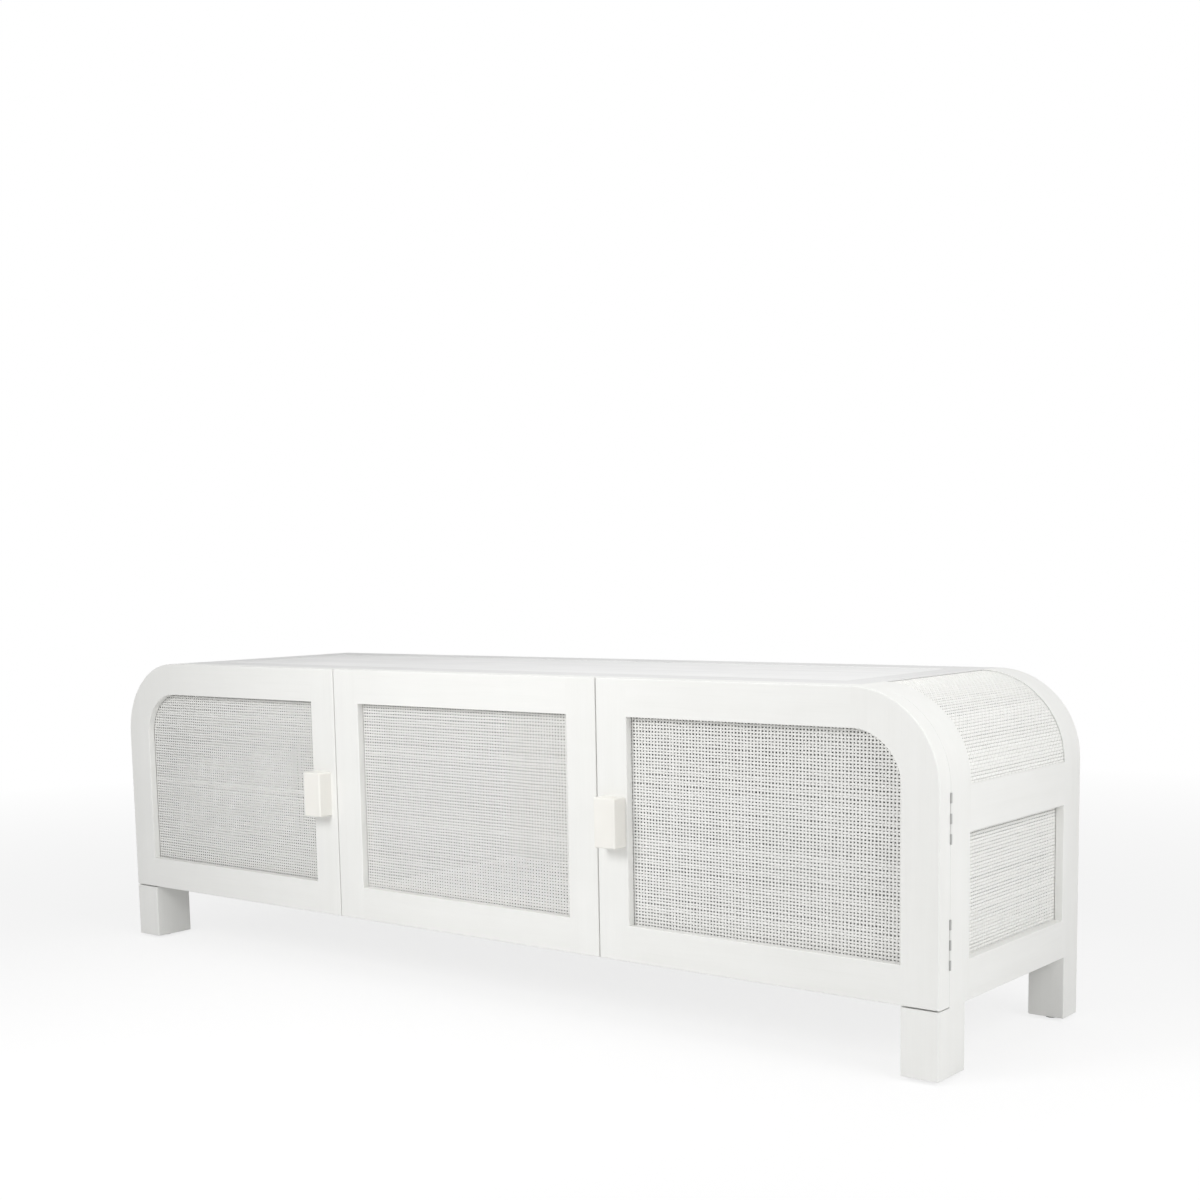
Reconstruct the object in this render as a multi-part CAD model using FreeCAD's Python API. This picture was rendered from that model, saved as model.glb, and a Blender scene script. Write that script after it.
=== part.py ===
import FreeCAD, Part
import math
import os
from FreeCAD import Placement, Rotation, Vector

# Cane-fronted TV unit with rounded shoulders: a timber carcass on block legs, two end doors on
# butt hinges and a centre flap that drops forward. Millimetres, +Z up, the front faces -Y, and
# the origin is on the floor under the middle of the unit.

# How near counts as the same place, and how far a cutting block stands past what it cuts
tolerance = 1e-4
overshoot = 1.0

# Overall sizes
width = 1800.0
depth = 470.0
height = 555.0
corner_radius = 140.0

# Frame members
member = 60.0
frame_thickness = 30.0
door_thickness = 32.0
mid_rail_height = 68.0
edge_round = 2.0
rim_round = 1.2
seat_round = 0.4
panel_thickness = 18.0
back_thickness = 9.0
top_panel_drop = 1.0
ledge = 10.0

# Legs and foot glides
leg_height = 105.0
leg_width = 60.0
front_leg_depth = 80.0
rear_leg_depth = 50.0
glide_height = 5.0
glide_radius = 10.0

# Gaps
door_gap = 1.5
hinge_gap = 0.4
flap_gap = 2.0
leg_gap = 2.0
fit = 0.3

# Cane panels: the weave is stood for by a net of square holes
cane_recess = 13.0
cane_thickness = 3.0
rebate = 10.0
bead_depth = 10.0
curve_recess = 1.5
curve_groove = 8.0
net_pitch = 24.0
net_hole = 15.0
net_border = 6.0

# Block handles
handle_width = 42.0
handle_height = 80.0
handle_depth = 28.0
handle_edge = 14.0
handle_round = 3.0

# Butt hinges
hinge_length = 72.0
hinge_low = 90.0
hinge_high = 42.0
flap_hinge_inset = 120.0
leaf_width = 22.0
leaf_thickness = 1.2
barrel_radius = 2.0
knuckle_count = 5
knuckle_gap = 0.5
barrel_clear = 0.6
barrel_relief = 0.5
pin_radius = 1.0
pin_clearance = 0.05
screw_radius = 1.5
screw_length = 12.0
screw_head_radius = 2.6
screw_clearance = 0.1
screw_spread = 24.0
screw_inset = 7.5

# Catches, push latch and strike plates
strike_thickness = 1.0
strike_margin = 1.0
catch_width = 14.0
catch_height = 20.0
catch_depth = 40.0
catch_drop = 50.0
latch_width = 20.0
latch_height = 14.0
latch_depth = 70.0
latch_setback = 1.0
plunger_radius = 4.0
plunger_length = 30.0
plunger_travel = 1.5
plunger_clearance = 0.08
plunger_space = 6.0

# Cable outlets in the back
outlet_radius = 30.0
outlet_height = 80.0
outlet_inset = 220.0

# Places worked out from the sizes above
half = width / 2
third = width / 3
front = handle_depth - (depth + handle_depth) / 2
back = front + depth
door_back = front + door_thickness
carcass_front = door_back + hinge_gap
axis_y = door_back + hinge_gap / 2
flap_back = carcass_front - flap_gap
flap_axis_y = flap_back + flap_gap / 2
door_bottom = leg_height + leg_gap
spring = height - corner_radius
bend_x = half - corner_radius
inner_x = half - frame_thickness
rail_under = height - frame_thickness
stile_front = carcass_front + member
stile_back = back - member
sight_bottom = leg_height + member
sight_top = height - member
end_sight_top = spring - mid_rail_height
top_x = bend_x - member
top_panel_top = height - top_panel_drop
top_panel_under = top_panel_top - panel_thickness
base_rail_top = leg_height + frame_thickness
floor_z = base_rail_top + panel_thickness
back_face = back - back_thickness
leaf_back = hinge_gap / 2 + leaf_thickness
cane_face = front + cane_recess
cane_back = cane_face + cane_thickness
end_cane_face = half - cane_recess
end_cane_back = end_cane_face - cane_thickness
curve_outer = corner_radius - curve_recess
curve_inner = curve_outer - cane_thickness


def box(x0, x1, y0, y1, z0, z1):
    """A block between two corners."""
    return Part.makeBox(x1 - x0, y1 - y0, z1 - z0, Vector(x0, y0, z0))


def quarter_arc(center_x, center_z, radius, side, y):
    """An upper quarter circle in a plane of constant y, on the left (-1) or right (+1) side."""
    lean = radius * math.sqrt(0.5)
    foot = Vector(center_x + side * radius, y, center_z)
    middle = Vector(center_x + side * lean, y, center_z + lean)
    crown = Vector(center_x, y, center_z + radius)
    return foot, middle, crown


def outline(x0, x1, z0, z1, left_round, right_round, y):
    """An upright rectangle in a plane of constant y, with its two top corners rounded."""
    edges = []
    corner = Vector(x0, y, z0)
    start = corner
    for side, x, radius in ((-1, x0, left_round), (1, x1, right_round)):
        foot, middle, crown = quarter_arc(x - side * radius, z1 - radius, radius, side, y)
        first, last = (foot, crown) if side < 0 else (crown, foot)
        edges.append(Part.LineSegment(start, first).toShape())
        if radius > 0:
            edges.append(Part.Arc(first, middle, last).toShape())
        start = last
    end = Vector(x1, y, z0)
    edges.append(Part.LineSegment(start, end).toShape())
    edges.append(Part.LineSegment(end, corner).toShape())
    return Part.Wire(edges)


def slab(wires, thickness):
    """The face inside the first wire, with the other wires as holes, made thick towards +Y."""
    face = Part.Face(wires)
    face.validate()
    return face.extrude(Vector(0, thickness, 0))


def quarter_ring(inner, outer, y0, y1):
    """A quarter of a tube about the right shoulder's centre line."""
    foot_a, middle_a, crown_a = quarter_arc(bend_x, spring, inner, 1, y0)
    foot_b, middle_b, crown_b = quarter_arc(bend_x, spring, outer, 1, y0)
    edges = [
        Part.Arc(foot_a, middle_a, crown_a).toShape(),
        Part.LineSegment(crown_a, crown_b).toShape(),
        Part.Arc(crown_b, middle_b, foot_b).toShape(),
        Part.LineSegment(foot_b, foot_a).toShape(),
    ]
    return slab([Part.Wire(edges)], y1 - y0)


def flat_at(edge, y):
    """True where an edge lies in the plane of constant y."""
    span = edge.BoundBox
    return abs(span.YMin - y) < tolerance and abs(span.YMax - y) < tolerance


def middle_of(edge):
    """The point halfway along an edge."""
    return edge.valueAt((edge.FirstParameter + edge.LastParameter) / 2)


def on_shoulder_line(point):
    """True on the unit's outer profile: its sides, its rounded shoulders and its top."""
    x = abs(point.x)
    if x > bend_x and point.z > spring:
        return abs(math.hypot(x - bend_x, point.z - spring) - corner_radius) < 10 * tolerance
    return abs(x - half) < 10 * tolerance or abs(point.z - height) < 10 * tolerance


def rounded_box(x0, x1, y0, y1, z0, z1, radius, keep_flat):
    """A block with every edge rounded, apart from those of the face named by keep_flat."""
    block = box(x0, x1, y0, y1, z0, z1)
    limits = {"top": ("Z", z1), "back": ("Y", y1)}
    axis, value = limits[keep_flat]
    edges = []
    for edge in block.Edges:
        low = getattr(edge.BoundBox, axis + "Min")
        high = getattr(edge.BoundBox, axis + "Max")
        if abs(low - value) > tolerance or abs(high - value) > tolerance:
            edges.append(edge)
    return block.makeFillet(radius, edges)


def mirrored(shape):
    """The same shape on the other side of the unit's middle."""
    return shape.mirror(Vector(0, 0, 0), Vector(1, 0, 0))


def cut_all(shape, cutters):
    """The shape with each cutter taken out of it."""
    for cutter in cutters:
        shape = shape.cut(cutter)
    return shape.removeSplitter()


# Hinges: made about their pin, with local x into the leaves, y towards the door and z along the pin
leaf_start = barrel_radius + barrel_clear
leaf_end = leaf_start + leaf_width
knuckle_pitch = hinge_length / knuckle_count


def screw_places():
    """Where the screws stand on a leaf: along the pin and across the leaf."""
    near, far = leaf_start + screw_inset, leaf_end - screw_inset
    return [(-screw_spread, far), (0.0, near), (screw_spread, far)]


def round_bar(radius, x, y0, y1, z):
    """A round bar along local y."""
    return Part.makeCylinder(radius, y1 - y0, Vector(x, y0, z), Vector(0, 1, 0))


def hinge_leaf(knuckles):
    """A leaf on the door side of the pin, with its own knuckles wrapped round the pin."""
    low = hinge_gap / 2
    leaf = box(leaf_start, leaf_end, low, leaf_back, -hinge_length / 2, hinge_length / 2)
    for index in knuckles:
        bottom = -hinge_length / 2 + index * knuckle_pitch + knuckle_gap / 2
        top = bottom + knuckle_pitch - knuckle_gap
        barrel = Part.makeCylinder(barrel_radius, top - bottom, Vector(0, 0, bottom))
        tab = box(0, leaf_start, low, leaf_back, bottom, top)
        leaf = leaf.fuse([barrel, tab])
    bore = Part.makeCylinder(pin_radius + pin_clearance, hinge_length, Vector(0, 0, -hinge_length / 2))
    seat = screw_head_radius + screw_clearance
    holes = [round_bar(seat, x, low, leaf_back, z) for z, x in screw_places()]
    return cut_all(leaf, [bore] + holes)


def hinge_screws():
    """The leaf's screws: flat heads in the leaf and shanks in the wood behind it."""
    screws = []
    for z, x in screw_places():
        head = round_bar(screw_head_radius, x, hinge_gap / 2, leaf_back, z)
        shank = round_bar(screw_radius, x, leaf_back, leaf_back + screw_length, z)
        screws.append(head.fuse(shank).removeSplitter())
    return screws


def hinge_recess():
    """What a leaf needs cut out of the wood: its mortise, room for the barrel and pilot holes."""
    reach = hinge_length / 2 + fit
    clear = barrel_radius + barrel_relief
    cutters = [
        box(-clear, leaf_end + fit, 0, leaf_back, -reach, reach),
        box(-clear, leaf_start, 0, clear, -reach, reach),
    ]
    for z, x in screw_places():
        pilot = screw_radius + screw_clearance
        cutters.append(round_bar(pilot, x, 0, leaf_back + screw_length + fit, z))
    return cutters


def hinge_pin():
    """The loose pin that both leaves turn on."""
    return Part.makeCylinder(pin_radius, hinge_length, Vector(0, 0, -hinge_length / 2))


def other_side(shape):
    """A hinge piece moved from the door side of the pin to the frame side."""
    return shape.mirror(Vector(0, 0, 0), Vector(0, 1, 0))


def placed(shapes, place):
    """Copies of the shapes at a hinge's place."""
    copies = []
    for shape in shapes:
        copy = shape.copy()
        copy.Placement = place.multiply(copy.Placement)
        copies.append(copy)
    return copies


flap_right = third / 2 - door_gap / 2
flap_hinge_x = flap_right - flap_hinge_inset
side_turn = Rotation(Vector(0, 0, 1), 180)
flap_turn = Rotation(Vector(1, 0, 1), 180)
side_heights = (leg_height + hinge_low, spring - hinge_high)
side_hinges = [Placement(Vector(half, axis_y, z), side_turn) for z in side_heights]
flap_places = (-flap_hinge_x, flap_hinge_x)
flap_hinges = [Placement(Vector(x, flap_axis_y, door_bottom), flap_turn) for x in flap_places]
door_knuckles = range(1, knuckle_count, 2)
frame_knuckles = range(0, knuckle_count, 2)


def at_hinges(shapes, places):
    """The shapes repeated at each hinge place."""
    return [copy for place in places for copy in placed(shapes, place)]


# Doors and flap
def rounded(shape, radius, wanted):
    """The shape with those edges rounded that a test picks out."""
    return shape.makeFillet(radius, [edge for edge in shape.Edges if wanted(edge)])


def door_frame(x0, x1, right_round, y1):
    """A framed leaf from the front face to y1, with rounded edges, rebated behind for its cane."""
    inner_round = max(right_round - member, 0)
    outer = outline(x0, x1, door_bottom, height, 0, right_round, front)
    sight = outline(x0 + member, x1 - member, sight_bottom, sight_top, 0, inner_round, front)

    def on_sight(edge):
        point = middle_of(edge)
        across = x0 + member - overshoot < point.x < x1 - member + overshoot
        return across and sight_bottom - overshoot < point.z < sight_top + overshoot

    frame = slab([outer, sight], y1 - front)
    frame = rounded(frame, edge_round, lambda edge: flat_at(edge, front) and not on_sight(edge))
    frame = rounded(frame, seat_round, lambda edge: flat_at(edge, y1) and not on_sight(edge))
    frame = rounded(frame, rim_round, lambda edge: flat_at(edge, front) and on_sight(edge))
    back_outline = cane_outline(x0, x1, right_round, rebate, cane_face)
    return frame.cut(slab([back_outline], y1 - cane_face))


def cane_outline(x0, x1, right_round, lap, y):
    """The sight opening of a leaf, made larger all round by lap."""
    inner_round = max(right_round - member, 0)
    if inner_round > 0:
        inner_round += lap
    left = x0 + member - lap
    right = x1 - member + lap
    return outline(left, right, sight_bottom - lap, sight_top + lap, 0, inner_round, y)


def net_centers(low, high):
    """Evenly spaced hole centres between two edges of a cane panel."""
    room = high - low - 2 * net_border - net_hole
    count = int(room // net_pitch) + 1
    first = (low + high - (count - 1) * net_pitch) / 2
    return [first + index * net_pitch for index in range(count)]


def square_hole(a, b, plane):
    """A square hole's wire about a centre, in the plane of a cane panel."""
    reach = net_hole / 2
    corners = [(a - reach, b - reach), (a + reach, b - reach), (a + reach, b + reach), (a - reach, b + reach)]
    points = [plane(*corner) for corner in corners]
    return Part.makePolygon(points + points[:1])


def door_cane(x0, x1, right_round):
    """A leaf's cane: one sheet, pierced all over its sight opening."""
    outer = cane_outline(x0, x1, right_round, rebate - fit, cane_face)
    inner_round = max(right_round - member, 0)
    holes = []
    for x in net_centers(x0 + member, x1 - member):
        for z in net_centers(sight_bottom, sight_top):
            over_x = x + net_hole / 2 - (x1 - member - inner_round)
            over_z = z + net_hole / 2 - (sight_top - inner_round)
            in_corner = over_x > 0 and over_z > 0
            if in_corner and math.hypot(over_x, over_z) > inner_round - net_border:
                continue
            holes.append(square_hole(x, z, lambda a, b: Vector(a, cane_face, b)))
    return slab([outer] + holes, cane_thickness)


def door_beads(x0, x1, right_round):
    """The beads that hold a leaf's cane in its rebate: a strip to each side, and one round the bend."""
    inner_round = max(right_round - member, 0)
    left, right = x0 + member, x1 - member
    lap = rebate - fit
    y0, y1 = cane_back, cane_back + bead_depth
    strips = [
        box(left - lap, right + lap, y0, y1, sight_bottom - lap, sight_bottom),
        box(left - lap, left, y0, y1, sight_bottom, sight_top + (lap if inner_round > 0 else 0)),
        box(right, right + lap, y0, y1, sight_bottom, sight_top - inner_round),
    ]
    if inner_round > 0:
        strips.append(box(left, right - inner_round, y0, y1, sight_top, sight_top + lap))
        strips.append(quarter_ring(inner_round, inner_round + lap, y0, y1))
    else:
        strips.append(box(left - lap, right + lap, y0, y1, sight_top, sight_top + lap))
    return strips


def end_door():
    """The right-hand door's pieces by name."""
    x0, x1 = third / 2 + door_gap / 2, half
    frame = door_frame(x0, x1, corner_radius, door_back)
    frame = cut_all(frame, at_hinges(hinge_recess(), side_hinges))
    y0, y1 = front - overshoot, door_back + overshoot
    low, high = door_bottom - overshoot, height + overshoot
    foot = box(x1 - member, x1 + overshoot, y0, y1, low, spring)
    head = box(bend_x, x1 + overshoot, y0, y1, spring, high)
    strike_x = third / 2 + panel_thickness / 2
    strike_z = rail_under - catch_drop
    return {
        "hinge_stile": [frame.common(foot.fuse(head).removeSplitter()).removeSplitter()],
        "lock_stile": [frame.common(box(x0 - overshoot, x0 + member, y0, y1, low, high))],
        "top_rail": [frame.common(box(x0 + member, bend_x, y0, y1, sight_top - overshoot, high))],
        "bottom_rail": [frame.common(box(x0 + member, x1 - member, y0, y1, low, sight_bottom + overshoot))],
        "cane": [door_cane(x0, x1, corner_radius)],
        "cane_beads": door_beads(x0, x1, corner_radius),
        "handle": [handle(x0 + handle_edge)],
        "hinge_leaves": at_hinges([hinge_leaf(door_knuckles)], side_hinges),
        "hinge_screws": at_hinges(hinge_screws(), side_hinges),
        "strike": [strike(strike_x, strike_x + catch_width, door_back, strike_z, strike_z + catch_height)],
    }


def handle(x):
    """A block handle that stands on a lock stile, at half the door's height."""
    middle = (leg_height + height) / 2
    low, high = middle - handle_height / 2, middle + handle_height / 2
    return rounded_box(x, x + handle_width, front - handle_depth, front, low, high, handle_round, "back")


def strike(x0, x1, y, z0, z1):
    """A steel plate on the back of a leaf, a little smaller than the catch that it meets."""
    m = strike_margin
    return box(x0 + m, x1 - m, y, y + strike_thickness, z0 + m, z1 - m)


def centre_flap():
    """The flap's pieces by name."""
    frame = door_frame(-flap_right, flap_right, 0, flap_back)
    frame = cut_all(frame, at_hinges(hinge_recess(), flap_hinges))
    y0, y1 = front - overshoot, door_back + overshoot
    low, high = door_bottom - overshoot, height + overshoot
    side = flap_right - member
    latch_z = rail_under - latch_height
    return {
        "stiles": [
            frame.common(box(-flap_right - overshoot, -side, y0, y1, low, high)),
            frame.common(box(side, flap_right + overshoot, y0, y1, low, high)),
        ],
        "rails": [
            frame.common(box(-side, side, y0, y1, low, sight_bottom + overshoot)),
            frame.common(box(-side, side, y0, y1, sight_top - overshoot, high)),
        ],
        "cane": [door_cane(-flap_right, flap_right, 0)],
        "cane_beads": door_beads(-flap_right, flap_right, 0),
        "hinge_leaves": at_hinges([hinge_leaf(door_knuckles)], flap_hinges),
        "hinge_screws": at_hinges(hinge_screws(), flap_hinges),
        "strike": [strike(-latch_width / 2, latch_width / 2, flap_back, latch_z, rail_under)],
    }


# Carcass
def arch(y0, y1):
    """A bent frame over the whole width: two uprights, two shoulders and a top rail."""
    outer = Part.Face(outline(-half, half, leg_height, height, corner_radius, corner_radius, y0))
    bend = corner_radius - frame_thickness
    inner = Part.Face(outline(-inner_x, inner_x, leg_height, rail_under, bend, bend, y0))
    return outer.cut(inner).extrude(Vector(0, y1 - y0, 0)).removeSplitter().Solids[0]


def on_outside(edge):
    """True for an edge of the frame's outer surface, above its foot."""
    point = middle_of(edge)
    return on_shoulder_line(point) and point.z > leg_height + overshoot


def on_rim(edge):
    """True where such an edge goes round a flat opening, in an end or in the top."""
    point = middle_of(edge)
    bent = point.z > spring - overshoot and abs(point.x) > bend_x - overshoot
    inside = not flat_at(edge, carcass_front) and not flat_at(edge, back)
    return on_outside(edge) and inside and not bent


def carcass_frame():
    """The frame in one piece, its edges rounded, before it is parted into its members."""
    rails = [
        box(inner_x, half, stile_front, stile_back, leg_height, sight_bottom),
        box(inner_x, half, stile_front, stile_back, end_sight_top, spring),
        box(top_x, bend_x, stile_front, stile_back, rail_under, height),
    ]
    rails += [mirrored(rail) for rail in rails]
    frame = arch(carcass_front, stile_front).fuse([arch(stile_back, back)] + rails)
    frame = frame.removeSplitter().Solids[0]
    frame = rounded(frame, rim_round, on_rim)
    frame = rounded(frame, edge_round, lambda edge: on_outside(edge) and flat_at(edge, back))
    return rounded(frame, seat_round, lambda edge: on_outside(edge) and flat_at(edge, carcass_front))


whole_frame = carcass_frame()


def from_frame(x0, x1, y0, y1, z0, z1):
    """The part of the carcass frame that lies between two corners."""
    return whole_frame.common(box(x0, x1, y0, y1, z0, z1)).removeSplitter()


def end_rebate():
    """The rebate behind the right end's flat cane."""
    y0, y1 = stile_front - rebate, stile_back + rebate
    return box(inner_x, end_cane_face, y0, y1, sight_bottom - rebate, end_sight_top + rebate)


def curve_groove_ring():
    """The groove that takes the curved cane's edges in the two right shoulders."""
    y0, y1 = stile_front - curve_groove, stile_back + curve_groove
    return quarter_ring(curve_inner - fit, curve_outer + fit, y0, y1)


def upright(y0, y1, cutters):
    """A right-hand upright, bent inwards at its head."""
    part = from_frame(bend_x, half + overshoot, y0, y1, leg_height, height + overshoot)
    return cut_all(part, cutters + [end_rebate(), curve_groove_ring()])


def top_rail(y0, y1, ledge_y):
    """A top rail between the shoulders, with a ledge that carries the top panel."""
    rail = from_frame(-bend_x, bend_x, y0, y1, rail_under, height + overshoot)
    shelf = box(-top_x, top_x, ledge_y, ledge_y + ledge, rail_under, top_panel_under)
    return rail.fuse(shelf).removeSplitter()


def cross_rail():
    """The right-hand cross rail of the top, with its ledge and a groove for the curved cane."""
    rail = from_frame(top_x, bend_x, stile_front, stile_back, rail_under, height + overshoot)
    shelf = box(top_x - ledge, top_x, stile_front + ledge, stile_back - ledge, rail_under, top_panel_under)
    low, high = spring + curve_inner - fit, spring + curve_outer + fit
    groove = box(bend_x - curve_groove - fit, bend_x, stile_front, stile_back, low, high)
    return cut_all(rail.fuse(shelf), [groove])


def end_rail(z0, z1):
    """A rail across the right end."""
    return from_frame(inner_x, half + overshoot, stile_front, stile_back, z0, z1).cut(end_rebate())


def mid_rail():
    """The end's middle rail, grooved on top for the curved cane."""
    low, high = bend_x + curve_inner - fit, bend_x + curve_outer + fit
    groove = box(low, high, stile_front, stile_back, spring - curve_groove - fit, spring)
    return cut_all(end_rail(end_sight_top, spring), [groove])


def curved_cane():
    """The cane bent over the right shoulder, with a straight lap at each end."""
    lap = curve_groove - fit
    sheet = quarter_ring(curve_inner, curve_outer, stile_front - lap, stile_back + lap)
    foot_lap = box(
        bend_x + curve_inner, bend_x + curve_outer, stile_front, stile_back, spring - curve_groove, spring
    )
    head_lap = box(
        bend_x - curve_groove, bend_x, stile_front, stile_back, spring + curve_inner, spring + curve_outer
    )
    return sheet.fuse([foot_lap, head_lap]).removeSplitter()


def end_cane():
    """The right end's flat cane, pierced all over its sight opening."""
    lap = rebate - fit
    x = end_cane_back
    corners = [
        Vector(x, stile_front - lap, sight_bottom - lap),
        Vector(x, stile_back + lap, sight_bottom - lap),
        Vector(x, stile_back + lap, end_sight_top + lap),
        Vector(x, stile_front - lap, end_sight_top + lap),
    ]
    wires = [Part.makePolygon(corners + corners[:1])]
    for y in net_centers(stile_front, stile_back):
        for z in net_centers(sight_bottom, end_sight_top):
            wires.append(square_hole(y, z, lambda a, b: Vector(x, a, b)))
    face = Part.Face(wires)
    face.validate()
    return face.extrude(Vector(cane_thickness, 0, 0))


def end_beads():
    """The beads behind the right end's flat cane."""
    lap = rebate - fit
    x0, x1 = end_cane_back - bead_depth, end_cane_back
    y0, y1 = stile_front, stile_back
    return [
        box(x0, x1, y0 - lap, y1 + lap, sight_bottom - lap, sight_bottom),
        box(x0, x1, y0 - lap, y1 + lap, end_sight_top, end_sight_top + lap),
        box(x0, x1, y0 - lap, y0, sight_bottom, end_sight_top),
        box(x0, x1, y1, y1 + lap, sight_bottom, end_sight_top),
    ]


def leg(y0, y1):
    """A right-hand block leg on its glide."""
    return rounded_box(half - leg_width, half, y0, y1, glide_height, leg_height, edge_round, "top")


def glides():
    """A round glide under the middle of each leg."""
    x = half - leg_width / 2
    feet = []
    for y in (front + front_leg_depth / 2, back - rear_leg_depth / 2):
        for side in (-1, 1):
            feet.append(Part.makeCylinder(glide_radius, glide_height, Vector(side * x, y, 0)))
    return feet


def base_rails():
    """The two rails under the floor panel. The front one carries the flap's hinges."""
    front_end = carcass_front + frame_thickness
    front_rail = box(-inner_x, inner_x, carcass_front, front_end, leg_height, base_rail_top)
    rear_rail = box(-inner_x, inner_x, back - frame_thickness, back, leg_height, base_rail_top)
    recesses = at_hinges([other_side(cutter) for cutter in hinge_recess()], flap_hinges)
    return [cut_all(front_rail, recesses), rear_rail]


def divider():
    """The right-hand divider, notched round the top rails and their ledges."""
    x0, x1 = third / 2 - panel_thickness / 2, third / 2 + panel_thickness / 2
    panel = box(x0, x1, carcass_front, back_face, floor_z, top_panel_under)
    front_notch = box(x0, x1, carcass_front, stile_front + ledge, rail_under, top_panel_under)
    rear_notch = box(x0, x1, stile_back - ledge, back_face, rail_under, top_panel_under)
    return cut_all(panel, [front_notch, rear_notch])


def back_panel():
    """The back, rounded inside the shoulders, with a cable outlet behind each compartment."""
    bend = corner_radius - frame_thickness
    side = inner_x - fit
    shape = outline(-side, side, base_rail_top, rail_under - fit, bend - fit, bend - fit, back_face)
    panel = slab([shape], back_thickness)
    z = floor_z + outlet_height
    side_x = half - outlet_inset
    holes = [round_bar(outlet_radius, x, back_face, back, z) for x in (-side_x, 0, side_x)]
    return cut_all(panel, holes)


def catch():
    """The right-hand magnetic catch on its divider. Its face stops the door's strike plate."""
    x0 = third / 2 + panel_thickness / 2
    y0 = door_back + strike_thickness + fit
    z0 = rail_under - catch_drop
    return box(x0, x0 + catch_width, y0, y0 + catch_depth, z0, z0 + catch_height)


latch_face = flap_back + strike_thickness + fit
latch_middle = rail_under - latch_height / 2


def latch_body():
    """The push latch's body under the front top rail, bored for its plunger."""
    y0 = carcass_front + latch_setback
    side = latch_width / 2
    body = box(-side, side, y0, y0 + latch_depth, rail_under - latch_height, rail_under)
    end = latch_face + plunger_length + plunger_travel + plunger_space
    bore = round_bar(plunger_radius + plunger_clearance, 0, y0, end, latch_middle)
    return cut_all(body, [bore])


def plunger():
    """The push latch's plunger, which meets the flap's strike plate."""
    return round_bar(plunger_radius, 0, latch_face, latch_face + plunger_length, latch_middle)


nodes = {}


def add(name, shapes):
    """Keep the solids of one named piece, or of one group of like pieces."""
    nodes[name] = shapes


def add_pair(name, shape):
    """Keep a right-hand piece and its mirror image on the left."""
    add(name + "_right", [shape])
    add(name + "_left", [mirrored(shape)])


add_pair("leg_front", leg(front, front + front_leg_depth))
add_pair("leg_rear", leg(back - rear_leg_depth, back))
add("foot_glides", glides())
frame_recess = at_hinges([other_side(cutter) for cutter in hinge_recess()], side_hinges)
add_pair("upright_front", upright(carcass_front, stile_front, frame_recess))
add_pair("upright_rear", upright(stile_back, back, []))
add("top_front_rail", [top_rail(carcass_front, stile_front, stile_front)])
add("top_rear_rail", [top_rail(stile_back, back, stile_back - ledge)])
add_pair("top_cross_rail", cross_rail())
add_pair("end_bottom_rail", end_rail(leg_height, sight_bottom))
add_pair("end_mid_rail", mid_rail())
add("top_panel", [box(-top_x, top_x, stile_front, stile_back, top_panel_under, top_panel_top)])
add("base_panel", [box(-inner_x, inner_x, carcass_front, back_face, base_rail_top, floor_z)])
add("base_rails", base_rails())
add("back_panel", [back_panel()])
add("dividers", [mirrored(divider()), divider()])
add_pair("end_cane", end_cane())
add_pair("curved_cane", curved_cane())
add("end_cane_beads", end_beads() + [mirrored(bead) for bead in end_beads()])

frame_leaf = other_side(hinge_leaf(frame_knuckles))
frame_screws = [other_side(screw) for screw in hinge_screws()]
for name, pieces in (
    ("frame_hinge_leaves", [frame_leaf]),
    ("frame_hinge_screws", frame_screws),
    ("hinge_pins", [hinge_pin()]),
):
    right_side = at_hinges(pieces, side_hinges)
    left_side = [mirrored(piece) for piece in right_side]
    add(name, right_side + left_side + at_hinges(pieces, flap_hinges))

add("magnet_catches", [mirrored(catch()), catch()])
add("push_latch_body", [latch_body()])
add("latch_plunger", [plunger()])
for name, pieces in end_door().items():
    add("right_door_" + name, pieces)
    add("left_door_" + name, [mirrored(piece) for piece in pieces])
for name, pieces in centre_flap().items():
    add("flap_" + name, pieces)

os.makedirs("parts", exist_ok=True)
for name, shapes in nodes.items():
    solids = [solid for shape in shapes for solid in shape.Solids]
    whole = solids[0] if len(solids) == 1 else Part.makeCompound(solids)
    whole.exportStep("parts/" + name + ".step")
    state = "valid" if whole.isValid() else "NOT VALID"
    print(name, len(solids), "of", len(shapes), state, round(whole.Volume / 1000, 2), "cm3")
print(len(nodes), "nodes")
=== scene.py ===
import math

import bpy
import numpy as np
from bpy.props import FloatProperty, FloatVectorProperty, IntProperty, PointerProperty
from mathutils import Matrix, Vector


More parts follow.
